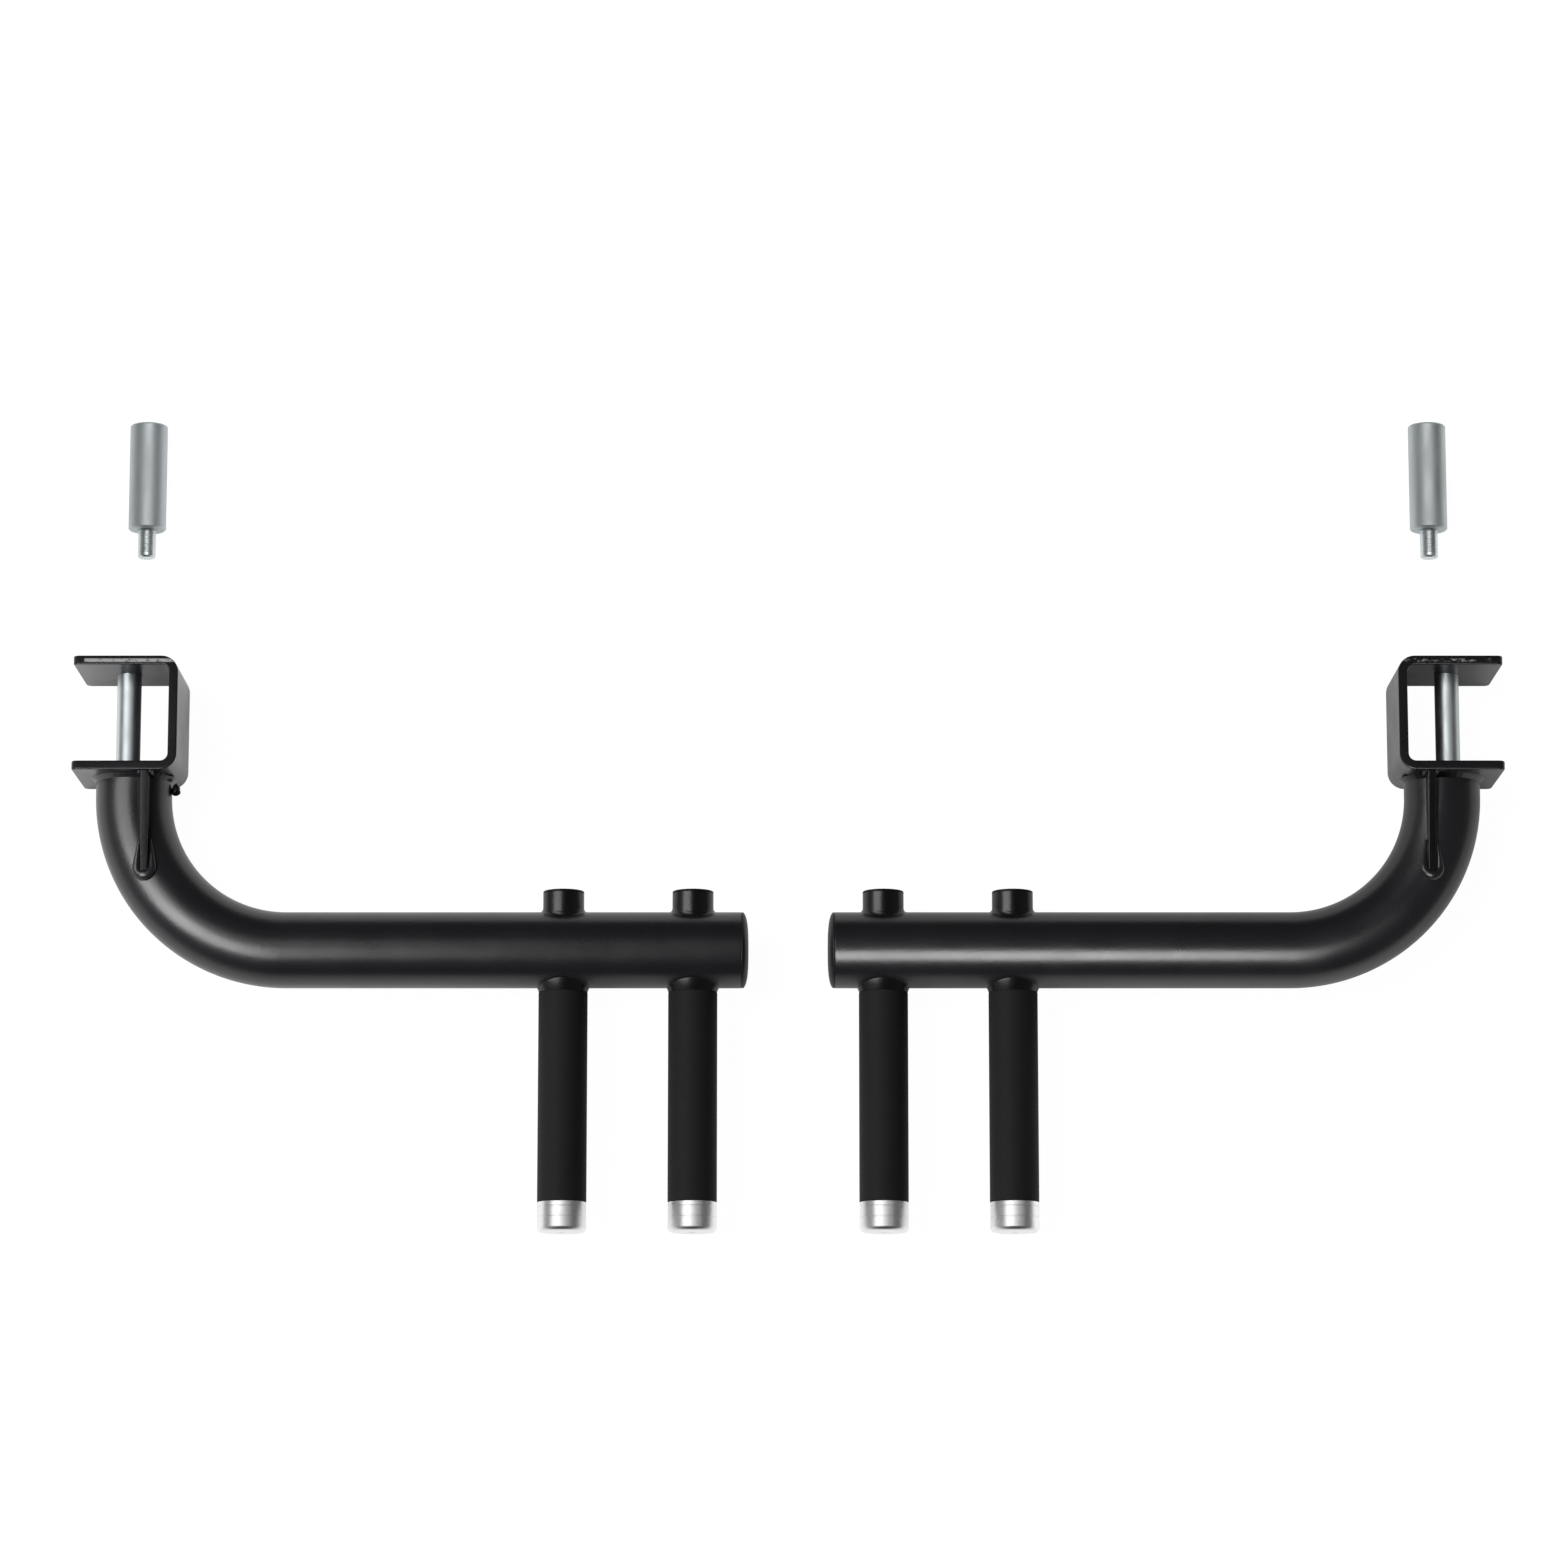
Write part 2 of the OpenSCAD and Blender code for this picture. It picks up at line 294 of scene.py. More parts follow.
def makePlastic():
    look = plasticLook
    material, shader, place = newFinish("blackPlastic", ior=look["ior"])
    grain = noiseAt(material, place, look["grain"], detail=2)
    surface(material, shader,
            blendColours(material, grain, look["dark"], look["pale"]),
            spread(material, grain, look["smoothest"], look["roughest"]),
            grain, look["grainHeight"])
    return material


rubberLook = {
    "dark": (0.019, 0.019, 0.0205),
    "pale": (0.026, 0.026, 0.028),
    "smoothest": 0.62,
    "roughest": 0.8,
    "patch": 60,
    "grain": 1600,
    "grainHeight": 0.00004,
    "ior": 1.32,
}


def makeRubber():
    look = rubberLook
    material, shader, place = newFinish("gripRubber", ior=look["ior"])
    patches = noiseAt(material, place, look["patch"], detail=5)
    grain = noiseAt(material, place, look["grain"], detail=3)
    surface(material, shader,
            blendColours(material, patches, look["dark"], look["pale"]),
            spread(material, grain, look["smoothest"], look["roughest"]),
            grain, look["grainHeight"])
    return material


aluminiumLook = {
    "dark": (0.86, 0.86, 0.87),
    "pale": (0.94, 0.94, 0.95),
    "smoothest": 0.34,
    "roughest": 0.42,
    "turning": 160,
    "stretch": (0.05, 40, 0.05),  # tool marks run round each cap, so they vary along it only
    "toolMark": 0.000003,
}


def makeAluminium():
    look = aluminiumLook
    material, shader, place = newFinish("turnedAluminium", metallic=1.0)
    marks = noiseAt(material, place, look["turning"], detail=6, stretch=look["stretch"])
    surface(material, shader,
            blendColours(material, marks, look["dark"], look["pale"]),
            spread(material, marks, look["smoothest"], look["roughest"]),
            marks, look["toolMark"])
    return material


brightZincLook = {
    "dark": (0.56, 0.61, 0.63),
    "pale": (0.74, 0.78, 0.79),
    "smoothest": 0.34,
    "roughest": 0.44,
    "patch": 180,
    "stretch": (1, 0.35, 1),
    "grain": 1440,
    "grainHeight": 0.000002,
}

satinZincLook = {
    "dark": (0.53, 0.57, 0.58),
    "pale": (0.65, 0.69, 0.70),
    "smoothest": 0.54,
    "roughest": 0.66,
    "patch": 120,
    "stretch": (1, 0.35, 1),
    "grain": 960,
    "grainHeight": 0.00001,
}


def makeZinc(name, look):
    material, shader, place = newFinish(name, metallic=1.0)
    patches = noiseAt(material, place, look["patch"], detail=5, stretch=look["stretch"])
    grain = noiseAt(material, place, look["grain"], detail=3)
    surface(material, shader,
            blendColours(material, patches, look["dark"], look["pale"]),
            spread(material, patches, look["smoothest"], look["roughest"]),
            grain, look["grainHeight"])
    return material


finishes = {
    "black_powder_coat": makePowderCoat("satinBlackPowder"),
    "black_plastic": makePlastic(),
    "grip_rubber": makeRubber(),
    "polished_aluminium": makeAluminium(),
    "bright_zinc": makeZinc("brightZinc", brightZincLook),
    "satin_zinc": makeZinc("satinZinc", satinZincLook),
}
print("finishes made:", len(finishes))


litPieces = {}  # the pieces that a lamp can name by node, by slot or by side and node


def dress(piece, side, node, slotName, body="arm", replaced=True, degrees=35, flat=False,
          finish=None):
    stem = "".join(word.capitalize() for word in node.split("_"))
    piece.name = side + stem
    smooth(piece, degrees)
    if flat:
        modify(piece, "WEIGHTED_NORMAL", keep_sharp=True)
    piece.data.materials.clear()
    piece.data.materials.append(finish or finishes[slotName])
    if replaced:
        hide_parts(side + "_" + node)
    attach(piece, side + "_" + body)
    for key in (node, slotName, side + "_" + node):
        litPieces.setdefault(key, []).append(piece)


def pair(obj, node, slotName, **settings):
    # the right-hand piece and its left-hand twin take over from their solids
    twin = mirrored(obj, 0, (0, 0, 0))
    dress(obj, "right", node, slotName, **settings)
    dress(twin, "left", node, slotName, **settings)


def rod(node):
    # a round solid that lies along Y: its box, the X of its axis and its radius
    lo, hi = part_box("right_" + node)
    return lo, hi, (lo.x + hi.x) / 2, (hi.x - lo.x) / 2


# the places that several pieces share, read from the solids apart from the bend's radius

tubeLo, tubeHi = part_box("right_main_tube")
plateLo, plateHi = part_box("right_bracket")
tubeRadius = (tubeHi.z - tubeLo.z) / 2
axisZ = (tubeHi.z + tubeLo.z) / 2
legX = tubeHi.x - tubeRadius
runY = tubeLo.y + tubeRadius
bendRadius = 0.102
bendCentre = Vector((legX - bendRadius, runY + bendRadius, axisZ))
lowerY = plateLo.y
upperY = plateHi.y
pinLo, pinHi, pinX, pinHead = rod("lock_pin")
handleNames = ("inner", "outer")


def tubeTop(x, y):
    # height of the main tube's skin above its own axis
    if y > bendCentre.y:
        aside = x - legX
    elif x < bendCentre.x:
        aside = y - runY
    else:
        aside = math.hypot(x - bendCentre.x, y - bendCentre.y) - bendRadius
    return math.sqrt(max(tubeRadius ** 2 - aside ** 2, 0))


# folded bracket

bracketMake = {
    "plate": 0.006,
    "foldRadius": 0.011,
    "foldSteps": 10,
    "cornerRadius": 0.004,
    "cornerSteps": 6,
    "lockHole": 0.00825,
    "headHole": 0.01275,
    "headDepth": 0.00325,
    "threadHole": 0.0065,
    "edgeRound": 0.0009,
    "edgeSteps": 3,
    "edgeAngle": 50,
    "holeRound": 0.0003,
    "holeSteps": 2,
}


def pickFold(obj, edgeY):
    # the edge at which the web meets a plate
    startEditing(obj)
    pick(obj, "edges", lambda p: max(abs(p.y - edgeY), abs(p.x - plateLo.x)) < closeEnough)


def makeBracket():
    make = bracketMake
    size = plateHi - plateLo
    clearSelection()
    bpy.ops.mesh.primitive_plane_add(
        size=1, location=(plateLo.x, plateLo.y + size.y / 2, size.z / 2),
        rotation=(0, -math.pi / 2, 0))
    obj = bpy.context.object
    bpy.ops.transform.resize(value=(1, size.y, size.z))
    keepPlace(obj)
    for edgeY in (lowerY, upperY):
        pickFold(obj, edgeY)
        bpy.ops.mesh.extrude_edges_move(TRANSFORM_OT_translate={"value": (size.x, 0, 0)})
        stopEditing()
    for edgeY in (lowerY, upperY):
        pickFold(obj, edgeY)
        bpy.ops.mesh.bevel(offset=make["foldRadius"], segments=make["foldSteps"], affect="EDGES")
        stopEditing()
    startEditing(obj, "VERT")
    pick(obj, "verts", lambda p: abs(p.x - plateHi.x) < closeEnough)
    bpy.ops.mesh.bevel(offset=make["cornerRadius"], segments=make["cornerSteps"], affect="VERTICES")
    stopEditing()
    modify(obj, "SOLIDIFY", thickness=make["plate"], offset=-1, use_even_offset=True,
           use_quality_normals=True)
    # the holes come after the edges are rounded, because they would hold the rounding back
    modify(obj, "BEVEL", width=make["edgeRound"], segments=make["edgeSteps"], limit_method="ANGLE",
           angle_limit=math.radians(make["edgeAngle"]), use_clamp_overlap=False)
    through = 4 * make["plate"]
    holes = (
        (upperY, make["lockHole"], through),
        (lowerY, make["threadHole"], through),
        (upperY, make["headHole"], 2 * make["headDepth"]),
    )
    for faceY, radius, depth in holes:
        carveHole(obj, (pinX, faceY, axisZ), radius, depth)
    closeSkin(obj)
    rims = (
        (upperY, make["headHole"]),
        (upperY - make["plate"], make["lockHole"]),
        (lowerY, make["threadHole"]),
        (lowerY + make["plate"], make["threadHole"]),
    )
    for rim in rims:
        roundRing(obj, (pinX, 0, axisZ), (0, 1, 0), rim, make["holeRound"], make["holeSteps"])
    return obj


# pale painted highlight on the bracket's front cut edge, with a little more roughness there
paintedEdgeHighlightLook = {
    "worn": (0.38, 0.38, 0.39),
    "rougher": 0.5,
    "scale": 700,
    "stretch": (0.5, 1, 1),
    "start": 0.42,
    "end": 0.62,
    "left": -0.17,  # the lower, the more of that bracket's edge gets the painted highlight
    "right": 0.125,
    "betweenX": (-0.1, 0.1),
    "outerEnd": 0.007,  # how much of the plate's free end is left without the painted highlight
    "low": 0.0047,
    "high": 0.0019,
    "fade": 0.0006,
}


def paintedEdgeHighlight(material, place, colour, roughness):
    # painted highlight: the upper plate's front cut edge is painted pale almost all along on the
    # left and in spots on the right, where the rough edge catches the light
    look = paintedEdgeHighlightLook
    fade = look["fade"]
    lowest, highest = upperY - look["low"], upperY - look["high"]
    outermost = plateHi.x - look["outerEnd"]
    parts = addNode(material, "ShaderNodeSeparateXYZ", {"Vector": place}).outputs
    limits = (
        (parts["Z"], 0, 1, plateHi.z - fade, plateHi.z - fade / 2),
        (parts["Y"], 0, 1, lowest, lowest + fade),
        (parts["Y"], 1, 0, highest - fade, highest),
        (maths(material, "ABSOLUTE", parts["X"]), 1, 0, outermost - 2 * fade, outermost),
    )
    spots = noiseAt(material, place, look["scale"], detail=3, stretch=look["stretch"])
    fewer = spread(material, parts["X"], look["left"], look["right"], *look["betweenX"])
    level = maths(material, "SUBTRACT", spots, fewer)
    worn = spread(material, level, 0, 1, look["start"], look["end"])
    for limit in limits:
        worn = maths(material, "MULTIPLY", worn, spread(material, *limit))
    colour = blendColours(material, worn, colour, look["worn"])
    roughness = maths(material, "MULTIPLY_ADD", worn, look["rougher"], roughness)
    return colour, roughness


# the brackets' coat carries the painted edge highlight
pair(makeBracket(), "bracket", "black_powder_coat", flat=True,
     finish=makePowderCoat("edgeHighlightBlackPowder", paintedLight=paintedEdgeHighlight))
print("brackets folded")

# bent main tube

tubeMake = {
    "wall": 0.003,
    "sides": 128,
    "bendSteps": 64,
    "runSteps": 12,
    "endRound": 0.0005,
    "endSteps": 3,
}


def startTube():
    # the outer skin, left in edit mode with its open end selected
    make = tubeMake
    clearSelection()
    bpy.ops.mesh.primitive_circle_add(
        vertices=make["sides"], radius=tubeRadius, fill_type="NOTHING",
        location=(legX, tubeHi.y, axisZ), rotation=(math.pi / 2, 0, 0))
    obj = bpy.context.object
    keepPlace(obj)
    startEditing(obj, "EDGE", "SELECT")
    drop = bendCentre.y - tubeHi.y
    bpy.ops.mesh.extrude_edges_move(TRANSFORM_OT_translate={"value": (0, drop, 0)})
    bpy.ops.mesh.spin(steps=make["bendSteps"], angle=math.pi / 2, center=bendCentre,
                      axis=(0, 0, 1))
    step = (tubeLo.x - bendCentre.x) / make["runSteps"]
    for _ in range(make["runSteps"]):
        bpy.ops.mesh.extrude_edges_move(TRANSFORM_OT_translate={"value": (step, 0, 0)})
    return obj


def makeMainTube():
    make = tubeMake
    obj = startTube()
    stopEditing()
    closeSkin(obj)
    modify(obj, "SOLIDIFY", thickness=make["wall"], offset=-1, use_even_offset=True)
    startEditing(obj)
    pick(obj, "edges", lambda p: abs(p.x - tubeLo.x) < closeEnough)
    bpy.ops.mesh.bevel(offset=make["endRound"], segments=make["endSteps"], affect="EDGES")
    stopEditing()
    return obj


def makeTubeBar():
    # a solid bar with the tube's outer skin, to cut other pieces to fit
    obj = startTube()
    bpy.ops.mesh.edge_face_add()
    stopEditing()
    startEditing(obj)
    pick(obj, "edges", lambda p: abs(p.y - tubeHi.y) < closeEnough)
    bpy.ops.mesh.edge_face_add()
    stopEditing()
    closeSkin(obj)
    return obj


pair(makeMainTube(), "main_tube", "black_powder_coat", flat=True)
print("main tubes bent")

# gussets and their welds

gussetMake = {
    "edgeRound": 0.0007,
    "edgeSteps": 3,
    "tipHeight": 0.002,  # above the tube
    "tipRise": 0.0045,
    "tipReach": 0.018,
    "tipSide": 0.0052,
    "neckSide": 0.0034,
    "neckCurve": 1.5,
    "tipBead": 0.0044,
    "jointBead": 0.0019,
    "jointAside": 0.5,  # shares of that bead's radius
    "jointSunk": 0.3,
    "beadSteps": 14,
    "beadRoundness": 4,
    "coins": 0.0022,
    "coinDepth": 0.12,
    "pearEnds": 0.25,
    "pearCurve": 1.5,
    "bluntEnds": 0.15,
    "bluntRate": 2.5,
}


def makeGusset():
    make = gussetMake
    lo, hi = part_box("right_front_gusset")
    size = hi - lo
    clearSelection()
    bpy.ops.mesh.primitive_plane_add(
        size=1, location=(hi.x, lo.y + size.y / 2, lo.z + size.z / 2),
        rotation=(0, math.pi / 2, 0))
    obj = bpy.context.object
    bpy.ops.transform.resize(value=(1, size.y, size.z))
    keepPlace(obj)
    # the corner at the tip drops to just above the tube, and the lower ones sink into it
    crown = axisZ + tubeRadius
    startEditing(obj, "VERT")
    pick(obj, "verts", lambda p: p.z > crown and p.y < lo.y + closeEnough)
    bpy.ops.transform.translate(value=(0, 0, crown + make["tipHeight"] - hi.z))
    bpy.ops.mesh.select_all(action="DESELECT")
    pick(obj, "verts", lambda p: p.z < crown)
    bpy.ops.transform.translate(value=(0, 0, crown - tubeRadius / 2 - lo.z))
    stopEditing()
    modify(obj, "SOLIDIFY", thickness=size.x, offset=-1)
    modify(obj, "BEVEL", width=make["edgeRound"], segments=make["edgeSteps"],
           use_clamp_overlap=False)
    carve(obj, makeTubeBar())
    closeSkin(obj)
    return obj


def weldBead(points, radii):
    # a curve through the points, as thick as the radii say
    clearSelection()
    bpy.ops.curve.primitive_nurbs_path_add()
    obj = bpy.context.object
    bpy.ops.object.mode_set(mode="EDIT")
    bpy.ops.curve.select_all(action="SELECT")
    bpy.ops.curve.delete(type="VERT")
    for point in points:
        bpy.ops.curve.vertex_add(location=point)
    bpy.ops.curve.select_all(action="SELECT")
    bpy.ops.curve.spline_type_set(type="POLY")
    stopEditing()
    obj.data.bevel_depth = 1
    obj.data.bevel_resolution = gussetMake["beadRoundness"]
    obj.data.use_fill_caps = True
    for knot, radius in zip(obj.data.splines[0].points, radii):
        knot.radius = radius
    selectOnly(obj)
    bpy.ops.object.convert(target="MESH")
    obj = bpy.context.object
    keepPlace(obj)
    closeSkin(obj)
    return obj


def beadRadius(radius, distance, total, pear):
    # a bead tapers at both ends, or swells to its middle, and ripples like laid coins
    make = gussetMake
    inward = min(distance, total - distance) / total * 2
    if pear:
        taper = make["pearEnds"] + (1 - make["pearEnds"]) * inward ** make["pearCurve"]
    else:
        taper = math.sqrt(min(1, make["bluntEnds"] + make["bluntRate"] * inward))
    drop = math.sqrt(abs(math.sin(distance * math.pi / make["coins"])))
    return radius * taper * (1 - make["coinDepth"] + make["coinDepth"] * drop)


def layBead(points, radius, pear=False):
    travelled = [0.0]
    for before, after in zip(points, points[1:]):
        travelled.append(travelled[-1] + (after - before).length)
    total = travelled[-1]
    return weldBead(points, [beadRadius(radius, distance, total, pear) for distance in travelled])


def makeGussetBeads():
    make = gussetMake
    lo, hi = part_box("right_front_gusset")
    middle = (lo.x + hi.x) / 2
    tipY = lo.y + make["tipRise"]
    steps = make["beadSteps"]
    climbs = [index / steps for index in range(steps + 1)]
    # down one side of the gusset, round its tip and up the other side
    narrowing = make["neckSide"] - make["tipSide"]
    legs = [(make["tipSide"] + narrowing * climb ** make["neckCurve"],
             tipY + make["tipReach"] * climb) for climb in climbs]
    path = [(middle + side, y) for side, y in reversed(legs)]
    for climb in climbs[1:-1]:
        turn = math.pi * climb
        path.append((middle + make["tipSide"] * math.cos(turn),
                     tipY - make["tipSide"] * math.sin(turn)))
    path += [(middle - side, y) for side, y in legs]
    points = [Vector((x, y, axisZ + tubeTop(x, y))) for x, y in path]
    beads = [layBead(points, make["tipBead"], pear=True)]
    # and one in each corner between the gusset and the bracket
    aside = hi.x - middle + make["jointBead"] * make["jointAside"]
    jointY = lowerY - make["jointBead"] * make["jointSunk"]
    high = hi.z - make["jointBead"]
    for x in (middle - aside, middle + aside):
        low = axisZ + tubeTop(x, lowerY)
        points = [Vector((x, jointY, low + (high - low) * climb)) for climb in climbs]
        beads.append(layBead(points, make["jointBead"]))
    return joinAll(beads)


frontGusset = makeGusset()
rearGusset = mirrored(frontGusset, 2, (0, 0, axisZ))
frontBeads = makeGussetBeads()
rearBeads = mirrored(frontBeads, 2, (0, 0, axisZ))
pair(frontGusset, "front_gusset", "black_powder_coat", flat=True)
pair(rearGusset, "rear_gusset", "black_powder_coat", flat=True)
pair(frontBeads, "front_gusset_beads", "black_powder_coat", replaced=False, degrees=60)
pair(rearBeads, "rear_gusset_beads", "black_powder_coat", replaced=False, degrees=60)
print("gussets welded")

# weld rings

weldMake = {
    "coins": 40,
    "ripple": 0.04,
    "root": 0.0012,
    "bite": 0.0003,  # into the tube that it runs round
    "steps": 8,
    "bracketReach": 0.0029,
    "bracketHeight": 0.0032,
    "bracketSides": 240,
    "stubReach": 0.0023,
    "stubHeight": 0.0029,
    "gripReach": 0.0037,
    "gripHeight": 0.0029,
    "gripLip": 0.0025,
    "gripSlope": 1.2,
    "saddleSides": 168,
    "frontShare": 0.2,  # how full a saddle is at its front, against its sides
    "gripFrontShare": 0.4,
    "frontFade": 0.9,
}


def filletRings(radius, reach, height, lip):
    # a hollow-cheeked weld from its foot, out by reach, to the top of its neck
    make = weldMake
    inside = radius - make["bite"]
    rings = [(-make["root"], inside), (-make["root"], radius + reach)]
    for index in range(make["steps"] + 1):
        climb = index / make["steps"]
        turn = climb * math.pi / 2
        if lip:
            out = lip + (reach - lip) * (1 - climb) ** make["gripSlope"]
            rings.append((height * climb, radius + out))
        else:
            rings.append((height * (1 - math.cos(turn)), radius + reach * (1 - math.sin(turn))))
    rings.append((height, inside))
    return rings


def layRipples(angle):
    return 1 + weldMake["ripple"] * math.sin(angle * weldMake["coins"])


def makeBracketWeld():
    make = weldMake
    rings = filletRings(tubeRadius, make["bracketReach"], make["bracketHeight"], 0)
    rings = [(max(distance, 0), radius) for distance, radius in rings[1:]]
    obj = turned((legX, lowerY, axisZ), (0, -1, 0), rings, make["bracketSides"], hollow=True)

    def ripple(point):
        angle = math.atan2(point.z - axisZ, point.x - legX)
        radius = math.hypot(point.z - axisZ, point.x - legX)
        radius = tubeRadius + (radius - tubeRadius) * layRipples(angle)
        return Vector((legX + radius * math.cos(angle), point.y, axisZ + radius * math.sin(angle)))

    reshape(obj, ripple)
    return obj


def makeSaddleWeld(x, side, reach, height, lip):
    # side is 1 for the stub and -1 for the handle
    make = weldMake
    handleRadius = rod("inner_handle_tube")[3]
    crown = runY + side * tubeRadius
    rings = filletRings(handleRadius, reach, height, lip)
    obj = turned((x, crown, axisZ), (0, side, 0), rings, make["saddleSides"], hollow=True)

    def saddle(point):
        angle = math.atan2(point.z - axisZ, point.x - x)
        out = math.hypot(point.z - axisZ, point.x - x) - handleRadius
        climb = min(max(side * (point.y - crown) / height, 0), 1) if lip else 0
        front = make["gripFrontShare" if lip else "frontShare"]
        share = front * (1 - make["frontFade"] * climb ** 2)
        share += (1 - share) * math.cos(angle) ** 2
        ripples = 1 if lip else layRipples(angle)
        radius = handleRadius + out * (ripples * share if out > 0 else 1)
        fall = tubeRadius - math.sqrt(tubeRadius ** 2 - (radius * math.sin(angle)) ** 2)
        return Vector((x + radius * math.cos(angle), point.y - side * fall * (1 - climb),
                       axisZ + radius * math.sin(angle)))

    reshape(obj, saddle)
    return obj


def makeHandleWelds():
    make = weldMake
    saddles = []
    for name in handleNames:
        x = rod(name + "_handle_tube")[2]
        saddles.append(makeSaddleWeld(x, 1, make["stubReach"], make["stubHeight"], 0))
        saddles.append(makeSaddleWeld(x, -1, make["gripReach"], make["gripHeight"],
                                      make["gripLip"]))
    return joinAll(saddles)


tackMake = {
    "at": (-0.4038, 0.0195, 0.0390),
    "size": (0.0030, 0.0042, 0.0026),
    "segments": 32,
    "rings": 20,
    "lumps": 0.0003,
    "lumpsAcross": 1500,
    "lumpsAlong": 1300,
    "lumpShift": 0.6,
    "wedge": 0.35,
}


def makeTack():
    # one stray tack weld beside the left-hand leg
    make = tackMake
    clearSelection()
    bpy.ops.mesh.primitive_uv_sphere_add(segments=make["segments"], ring_count=make["rings"],
                                         radius=1, location=make["at"])
    obj = bpy.context.object
    bpy.ops.transform.resize(value=make["size"])
    keepPlace(obj)

    def lump(point):
        away = point - Vector(make["at"])
        swell = math.sin(away.x * make["lumpsAcross"]) * make["lumps"]
        swell *= math.cos(away.y * make["lumpsAlong"] + make["lumpShift"])
        across = -away.x * make["wedge"] * away.y / make["size"][1]
        return point + away.normalized() * swell + Vector((across, 0, 0))

    reshape(obj, lump)
    return obj


pair(makeBracketWeld(), "bracket_weld", "black_powder_coat", degrees=60)
pair(makeHandleWelds(), "handle_welds", "black_powder_coat", degrees=60)
dress(makeTack(), "left", "tack_weld", "black_powder_coat", replaced=False, degrees=60)
print("weld rings laid")

# domed plug in the main tube's open end

plugMake = {
    "rim": 0.0005,
    "rimRound": 0.0004,
    "rimSteps": 2,
    "insertGap": 0.0002,
    "domeRings": 18,
    "domeSquare": 3.2,  # 2 would be a plain oval, and more keeps the middle flat
    "sides": 128,
}


def makeTubePlug():
    make = plugMake
    lo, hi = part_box("right_tube_plug")
    rim = make["rim"]
    dome = tubeLo.x - lo.x - rim
    insert = tubeRadius - tubeMake["wall"] - make["insertGap"]
    rings = [(tubeLo.x - hi.x, insert), (0, insert), (0, tubeRadius), (rim, tubeRadius)]
    for index in range(1, make["domeRings"]):
        turn = index / make["domeRings"] * math.pi / 2
        rings.append((rim + dome * math.sin(turn),
                      tubeRadius * math.cos(turn) ** (2 / make["domeSquare"])))
    foot, along = (tubeLo.x, runY, axisZ), (-1, 0, 0)
    obj = turned(foot, along, rings, make["sides"])
    roundRing(obj, foot, along, (0, tubeRadius), make["rimRound"], make["rimSteps"])
    return obj


pair(makeTubePlug(), "tube_plug", "black_plastic", flat=True)

# handle tubes, their plugs, grips and end caps

handleMake = {
    "wall": 0.0025,
    "fitGap": 0.0001,
    "middleRings": (0.05, 0.13),
    "stubRound": 0.0003,
    "stubRim": 0.0002,
    "stubHead": 0.00075,
    "gripRings": 12,
    "gripRound": 0.0008,
    "capSides": 128,
    "capFillet": 0.003,
    "capMouth": 0.0003,
    "grooves": (0.0028, 0.0096),
    "grooveWidth": 0.0008,
    "grooveDepth": 0.0004,
    "grooveSlope": 0.2,  # share of the width
    "dimple": 0.0025,
    "dimpleDepth": 0.5,  # shares of the dimple's radius
    "dimpleTip": 0.1,
}


def makeHandleTube(name):
    make = handleMake
    lo, hi, x, radius = rod(name + "_handle_tube")
    bore = radius - make["wall"]
    length = hi.y - lo.y
    foot, along = (x, hi.y, axisZ), (0, -1, 0)
    rings = [(0, bore), (0, radius)]
    rings += [(distance, radius) for distance in (*make["middleRings"], length)]
    rings += [(length, bore)]
    obj = turned(foot, along, rings, hollow=True)
    roundRing(obj, foot, along, (0, radius), make["stubRound"], segments=2)
    return obj


def makeStubPlug(name):
    make = handleMake
    lo, hi, x, radius = rod(name + "_stub_plug")
    tubeEnd = rod(name + "_handle_tube")[1].y
    insert = radius - make["wall"] - make["fitGap"]
    head = hi.y - tubeEnd
    foot, along = (x, tubeEnd, axisZ), (0, 1, 0)
    rings = [(lo.y - tubeEnd, insert), (0, insert), (0, radius), (head, radius)]
    obj = turned(foot, along, rings)
    roundRing(obj, foot, along, (head, radius), make["stubHead"], segments=4)
    roundRing(obj, foot, along, (0, radius), make["stubRim"], segments=2)
    return obj


def makeGrip(name):
    make = handleMake
    lo, hi, x, radius = rod(name + "_grip")
    bore = rod(name + "_handle_tube")[3] + make["fitGap"]
    length = hi.y - lo.y
    steps = make["gripRings"]
    foot, along = (x, hi.y, axisZ), (0, -1, 0)
    rings = [(0, bore), (0, radius)]
    rings += [(length * index / steps, radius) for index in range(1, steps + 1)]
    rings += [(length, bore)]
    obj = turned(foot, along, rings, hollow=True)
    for distance in (0, length):
        roundRing(obj, foot, along, (distance, radius), make["gripRound"], segments=4)
    return obj


def makeEndCap(name):
    make = handleMake
    lo, hi, x, radius = rod(name + "_end_cap")
    mouth = rod(name + "_grip")[0].y
    length = mouth - lo.y
    spigot = rod(name + "_handle_tube")[3] - make["wall"] - make["fitGap"]
    foot, along = (x, mouth, axisZ), (0, -1, 0)
    rings = [(mouth - hi.y, spigot), (0, spigot), (0, radius)]
    width, floor = make["grooveWidth"], radius - make["grooveDepth"]
    slope = width * make["grooveSlope"]
    for start in make["grooves"]:
        rings += [(start, radius), (start + slope, floor),
                  (start + width - slope, floor), (start + width, radius)]
    dimple = make["dimple"]
    rings += [(length, radius), (length, dimple),
              (length - dimple * make["dimpleDepth"], dimple * make["dimpleTip"])]
    obj = turned(foot, along, rings, make["capSides"])
    roundRing(obj, foot, along, (length, radius), make["capFillet"], segments=8)
    roundRing(obj, foot, along, (0, radius), make["capMouth"], segments=2)
    return obj


for handleName in handleNames:
    pair(makeHandleTube(handleName), handleName + "_handle_tube", "black_powder_coat", flat=True)
    pair(makeStubPlug(handleName), handleName + "_stub_plug", "black_plastic", flat=True)
    pair(makeGrip(handleName), handleName + "_grip", "grip_rubber", flat=True)
    pair(makeEndCap(handleName), handleName + "_end_cap", "polished_aluminium", degrees=30,
         flat=True)
print("handles fitted")

# lock pins and spare pins

